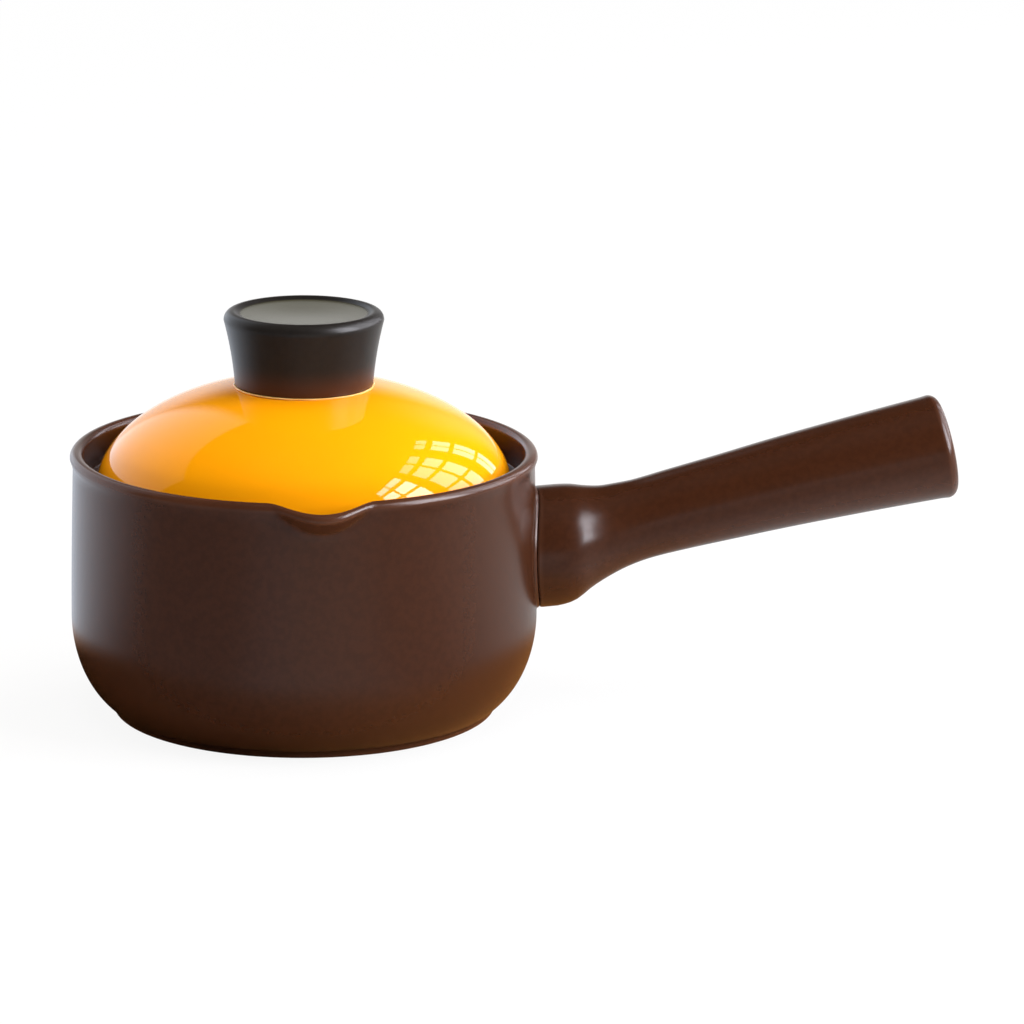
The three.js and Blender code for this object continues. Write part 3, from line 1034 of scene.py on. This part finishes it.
# The left-hand softbox as gloss sees it: a tall panel behind the pot's left side that fades
# upwards and towards the front. Aside and up are slopes from the pot, with the aim ahead.
SOFTBOX_AIM = (-0.643, 0.766, 0)
SOFTBOX_SIDE = (-0.766, -0.643, 0)
SOFTBOX_ASIDE = (-0.565, 0.84)
SOFTBOX_TOP = 1.25
SOFTBOX_EDGE = 0.03
SOFTBOX_LOW_LEVEL = 1.7
SOFTBOX_TOP_LEVEL = 0.5
SOFTBOX_FRONT_SHARE = 0.5
SOFTBOX_FADE = 1.3
SOFTBOX_LEAST_AHEAD = 0.02


def softbox_gloss(tree, direction, height):
    ahead = maths(tree, "MAXIMUM", towards(tree, direction, SOFTBOX_AIM), SOFTBOX_LEAST_AHEAD)
    aside = maths(tree, "DIVIDE", towards(tree, direction, SOFTBOX_SIDE), ahead)
    up = maths(tree, "DIVIDE", height, ahead)
    back, front = SOFTBOX_ASIDE
    inside_back = ramp(tree, aside, back - 2 * SOFTBOX_EDGE, back + 2 * SOFTBOX_EDGE, 0.0, 1.0)
    inside_front = ramp(tree, aside, front - SOFTBOX_EDGE, front + SOFTBOX_EDGE, 1.0, 0.0)
    inside_top = ramp(tree, up, SOFTBOX_TOP - SOFTBOX_EDGE, SOFTBOX_TOP + SOFTBOX_EDGE, 1.0, 0.0)
    lowness = maths(tree, "SUBTRACT", 1.0, maths(tree, "DIVIDE", up, SOFTBOX_TOP))
    lowness = maths(tree, "MINIMUM", maths(tree, "MAXIMUM", lowness, 0.0), 1.0)
    fade = maths(tree, "POWER", lowness, SOFTBOX_FADE)
    level = maths(tree, "MULTIPLY_ADD", fade, SOFTBOX_LOW_LEVEL - SOFTBOX_TOP_LEVEL, SOFTBOX_TOP_LEVEL)
    share = ramp(tree, aside, back, front, 1.0, SOFTBOX_FRONT_SHARE)
    return product(tree, level, share, inside_back, inside_front, inside_top)


# The backdrop and the rest of the sky. The backdrop is a low band behind the pot that dims
# towards the right, where a taller and dimmer part takes over. Spans are of a direction's
# height, its way backward or its way rightward, over which a part fades in or out.
SKY_FILL = 0.12
SKY_CEILING = 0.02
BACKDROP_LEVEL = 0.9
BACKDROP_HEIGHTS = (0.16, 0.44)
BACKDROP_BEHIND = (0.82, 1.0)
BACKDROP_DIMMING = (0.25, 0.4)
BACKDROP_DIMMED_SHARE = 0.3
RIGHT_PART_LEVEL = 0.33
RIGHT_PART_HEIGHTS = (0.3, 0.7)
RIGHT_PART_BEHIND = (0.55, 0.8)
RIGHT_PART_START = (0.2, 0.4)
RIGHT_PART_END = (0.42, 0.58)


def backdrop_gloss(tree, rightward, backward, height):
    """The pale backdrop as gloss sees it."""
    low = ramp(tree, height, *BACKDROP_HEIGHTS, 1.0, 0.0)
    behind = ramp(tree, backward, *BACKDROP_BEHIND, 0.0, BACKDROP_LEVEL)
    dimmed = ramp(tree, rightward, *BACKDROP_DIMMING, 1.0, BACKDROP_DIMMED_SHARE)
    tall = ramp(tree, height, *RIGHT_PART_HEIGHTS, 1.0, 0.0)
    right_start = ramp(tree, rightward, *RIGHT_PART_START, 0.0, RIGHT_PART_LEVEL)
    right_end = ramp(tree, rightward, *RIGHT_PART_END, 1.0, 0.0)
    right_behind = ramp(tree, backward, *RIGHT_PART_BEHIND, 0.0, 1.0)
    band = product(tree, low, behind, dimmed)
    right_part = product(tree, tall, right_start, right_end, right_behind)
    return maths(tree, "MAXIMUM", band, right_part)


def make_sky():
    """White to the camera, a dark studio to gloss, and a soft fill to everything else."""
    world = bpy.data.worlds.new("studio")
    bpy.context.scene.world = world
    world.use_nodes = True
    tree = world.node_tree
    background = tree.nodes["Background"]
    direction = node(tree, "ShaderNodeTexCoord").outputs["Generated"]
    rightward, backward, height = split(tree, direction)
    backdrop = backdrop_gloss(tree, rightward, backward, height)
    softbox = softbox_gloss(tree, direction, height)
    gloss = total(tree, maths(tree, "MAXIMUM", backdrop, softbox), SKY_CEILING)
    rays = node(tree, "ShaderNodeLightPath")
    seen = seen_directly(tree, rays)
    in_gloss = rays.outputs["Is Glossy Ray"]
    rest = maths(tree, "MAXIMUM", maths(tree, "SUBTRACT", 1.0, total(tree, seen, in_gloss)), 0.0)
    strength = total(tree, seen, product(tree, in_gloss, gloss), product(tree, rest, SKY_FILL))
    tree.links.new(strength, background.inputs["Strength"])
    tint = blend_colours(tree, in_gloss, WHITE, left_tint(tree, rightward))
    tree.links.new(tint, background.inputs["Color"])


def lamp(name, centre, aim, width, height, radiance, colour, in_gloss=True):
    """A flat lamp of a given brightness, turned to look along aim."""
    light = bpy.data.lights.new(name, "AREA")
    light.shape = "RECTANGLE"
    light.size, light.size_y = width, height
    light.energy = radiance * math.pi * width * height
    light.color = colour
    holder = bpy.data.objects.new(name, light)
    bpy.context.scene.collection.objects.link(holder)
    turn = Vector(aim).to_track_quat("-Z", "Y").to_matrix().to_4x4()
    holder.matrix_world = Matrix.Translation(centre) @ turn
    holder.visible_camera = False
    holder.visible_glossy = in_gloss


# The right-hand window stands on the plane x = WINDOW_DISTANCE. Its panes are given as shares of
# that distance: along Y for the columns of a sash, and up from the lid's height for the rows.
WINDOW_DISTANCE = 1.6
WINDOW_LEVEL = 0.095
WINDOW_TINT = (0.97, 0.975, 1.05)
PANE_ROWS = [(0.13, 0.50), (0.55, 0.86), (0.93, 1.20), (1.31, 1.50)]
ROW_STRENGTHS = [1, 1, 0.95, 0.65]
SASHES = [
    {"name": "far", "columns": [(0.80, 0.935), (0.965, 1.10)], "radiance": 4.2},
    {"name": "middle", "columns": [(0.01, 0.28), (0.335, 0.55)], "radiance": 5.0},
    {"name": "near", "columns": [(-0.87, -0.56), (-0.51, -0.18)], "radiance": 12.8},
]


def make_window():
    for sash in SASHES:
        for (low, high), strength in zip(PANE_ROWS, ROW_STRENGTHS):
            for near, far in sash["columns"]:
                centre = Vector((1, (near + far) / 2, (low + high) / 2)) * WINDOW_DISTANCE
                centre.z += WINDOW_LEVEL
                width, height = (far - near) * WINDOW_DISTANCE, (high - low) * WINDOW_DISTANCE
                radiance = sash["radiance"] * strength
                lamp(f"{sash['name']}_pane", centre, (-1, 0, 0), width, height, radiance, WINDOW_TINT)


# Soft lamps that gloss doesn't show: the softbox's own light, one low on the right and a wide
# one overhead. Centre, aim, width, height, radiance and colour.
FILL_LAMPS = {
    "left_fill": ((-1.5, 1.0, 1.1), (0.78, -0.55, -0.5), 2.0, 1.4, 3.0, (1, 0.91, 0.84)),
    "right_fill": ((1.3, 0.95, 0.35), (-0.78, -0.57, -0.2), 1.0, 0.6, 11.5, (1, 1, 1)),
    "top_fill": ((0.1, -0.2, 2.2), (-0.04, 0.09, -1), 1.6, 1.6, 3.4, (1, 1, 1)),
}


def make_fill_lamps():
    for name, values in FILL_LAMPS.items():
        lamp(name, *values, in_gloss=False)


CAMERA_PLACE = (-0.1311, -1.7270, 0.5116)
CAMERA_TURN = (75.731, -0.471, -6.675)
CAMERA_LENS = 175.78
CAMERA_SENSOR = 36


def make_camera():
    lens = bpy.data.cameras.new("camera")
    lens.lens = CAMERA_LENS
    lens.sensor_width = CAMERA_SENSOR
    camera = bpy.data.objects.new("camera", lens)
    bpy.context.scene.collection.objects.link(camera)
    camera.location = CAMERA_PLACE
    camera.rotation_euler = [math.radians(angle) for angle in CAMERA_TURN]
    bpy.context.scene.camera = camera


make_camera()
make_sky()
make_floor()
make_window()
make_fill_lamps()

pot_shell = make_pot_shell()
handle_grip = make_handle_grip()
lid_shell = make_lid_shell()
knob_cap = make_knob_cap()
knob_seam = make_knob_seam()

foot_clay = {
    "line_height": 0.15 * MM,
    "softness": 0.0001,
    "inner_radius": 55 * MM,
    "outer_radius": 75 * MM,
}
pot_shell.data.materials.append(brown_glaze("brown_satin_glaze", clay=foot_clay))
handle_grip.data.materials.append(brown_glaze("handle_satin_glaze"))
lid_shell.data.materials.append(orange_glaze())
knob_cap.data.materials.append(black_glaze())
knob_seam.data.materials.append(seam_glaze())

view_settings = bpy.context.scene.view_settings
view_settings.view_transform = "Standard"
